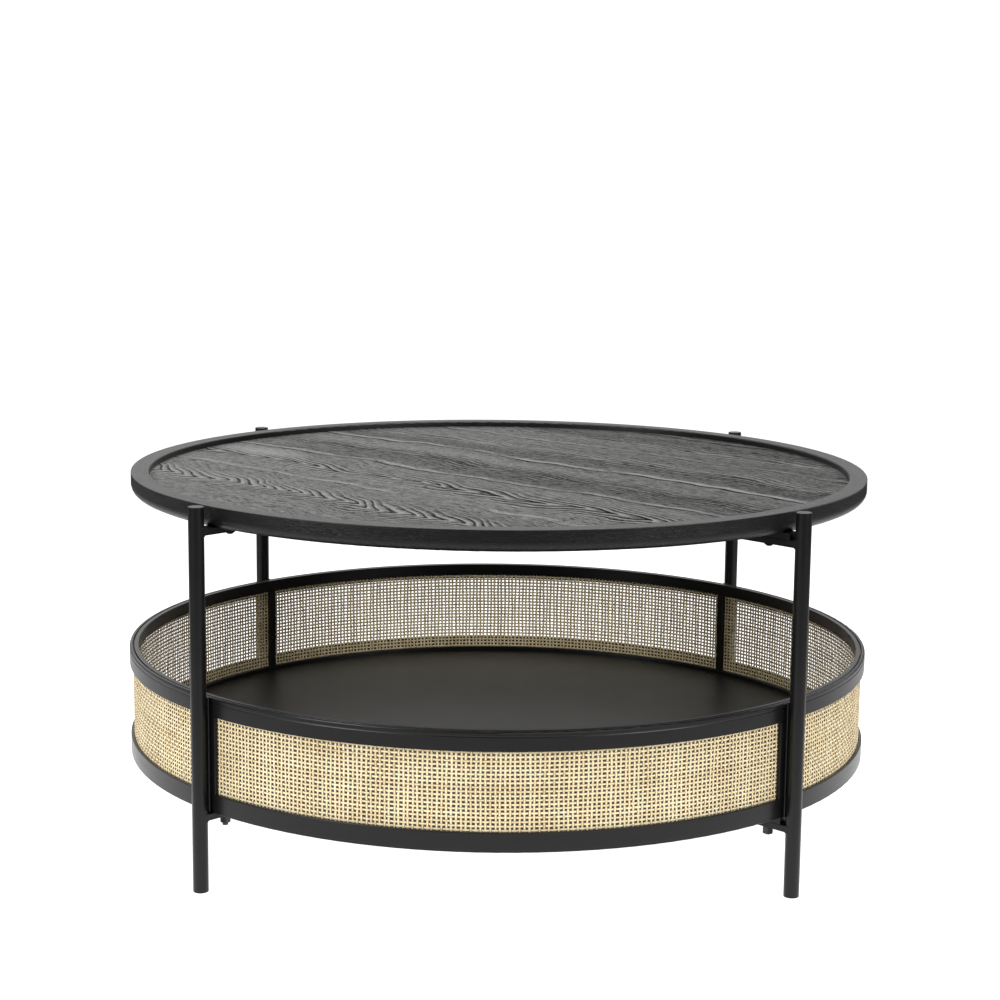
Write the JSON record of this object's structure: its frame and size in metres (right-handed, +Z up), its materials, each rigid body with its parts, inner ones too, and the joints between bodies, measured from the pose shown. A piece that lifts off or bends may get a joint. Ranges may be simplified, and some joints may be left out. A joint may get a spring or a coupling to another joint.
{
  "type": "coffee table",
  "caption": "Round coffee table with a raised-rim tray top, an open woven cane basket below it and slim upright tube legs.",
  "frame": {"origin": "on the ground, at the centre of the four legs", "axes": "+Z up, -Y is the front, legs at 45 degrees to X and Y"},
  "size_m": [0.829, 0.829, 0.397],
  "materials": {
    "stained_veneer": "black-stained open-grain oak veneer, matt lacquer",
    "stained_rim": "black-stained veneer on top, satin black lacquer on the edge",
    "insert_metal": "plain",
    "leg_steel": "satin black powder coat",
    "leg_caps": "satin black",
    "glide_plastic": "matt",
    "bar_steel": "satin black powder coat",
    "screw_steel": "black oxide",
    "bolt_steel": "black oxide",
    "nut_steel": "black oxide",
    "spacer_plastic": "matt",
    "hoop_wood": "satin black lacquer",
    "cane": "natural cane, woven, unlacquered",
    "floor_board": "satin black lacquer",
    "post_wood": "satin black lacquer"
  },
  "bodies": {
    "root": {"top_panel": "stained_veneer", "top_rim": "stained_rim", "threaded_inserts": "insert_metal", "front_left_leg": "leg_steel", "front_right_leg": "leg_steel", "rear_right_leg": "leg_steel", "rear_left_leg": "leg_steel", "leg_caps": "leg_caps", "leg_glides": "glide_plastic", "upper_bar_a": "bar_steel", "lower_bar_a": "bar_steel", "top_screws_a": "screw_steel", "basket_bolts_a": "bolt_steel", "basket_nuts_a": "nut_steel", "upper_bar_b": "bar_steel", "lower_bar_b": "bar_steel", "top_screws_b": "screw_steel", "basket_bolts_b": "bolt_steel", "basket_nuts_b": "nut_steel", "upper_spacers": "spacer_plastic", "lower_spacers": "spacer_plastic", "upper_outer_hoop": "hoop_wood", "upper_inner_hoop": "hoop_wood", "lower_outer_hoop": "hoop_wood", "lower_inner_hoop": "hoop_wood", "cane_webbing": "cane", "basket_floor": "floor_board", "front_left_outer_post": "post_wood", "front_left_inner_post": "post_wood", "front_right_outer_post": "post_wood", "front_right_inner_post": "post_wood", "rear_right_outer_post": "post_wood", "rear_right_inner_post": "post_wood", "rear_left_outer_post": "post_wood", "rear_left_inner_post": "post_wood"}
  },
  "joints": []
}
